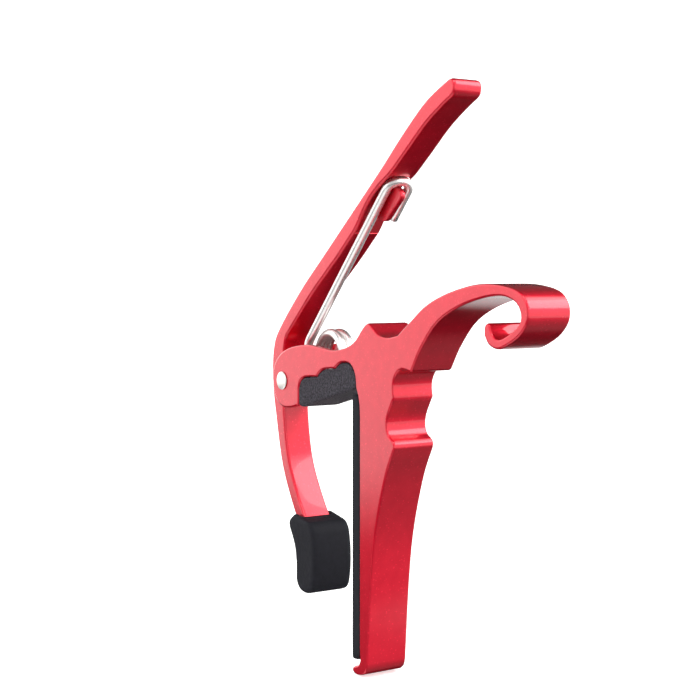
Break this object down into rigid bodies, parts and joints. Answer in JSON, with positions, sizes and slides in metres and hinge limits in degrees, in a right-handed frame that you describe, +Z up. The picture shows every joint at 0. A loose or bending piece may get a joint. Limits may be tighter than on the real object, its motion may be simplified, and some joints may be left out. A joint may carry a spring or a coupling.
{
  "type": "guitar capo",
  "caption": "Spring-clamp capo with a hooked frame, a squeeze handle on a riveted pivot, a coil spring, a string pad and a rubber-booted jaw.",
  "frame": {"origin": "middle of the string pad's flat contact face", "axes": "+Z up along the string bar towards the pivot and handle, +Y out of the string pad's face towards the jaw, +X across the width of the capo"},
  "size_m": [0.0112, 0.0916, 0.1188],
  "materials": {
    "red_aluminium": "red anodised extrusion with fine sparkle",
    "rivet_steel": "satin nickel",
    "spring_steel": "polished wire",
    "pad_rubber": "smooth matte black",
    "bumper_foam": "grainy foam rubber",
    "boot_rubber": "matte black"
  },
  "bodies": {
    "frame_body": {"frame": "red_aluminium", "string_pad": "pad_rubber", "bumper": "bumper_foam", "pivot_rivet": "rivet_steel", "torsion_spring": "spring_steel"},
    "lever_body": {"lever": "red_aluminium", "neck_pad": "boot_rubber"}
  },
  "joints": [
    {"name": "lever_pivot", "type": "hinge", "parent": "frame_body", "child": "lever_body", "pos_m": [0, 0.0282, 0.0279], "axis": [1, 0, 0], "range_deg": [-21.2, 25], "stiffness_Nm_per_rad": 1.4, "springref_deg": -60.16, "deforming": ["torsion_spring"]}
  ]
}
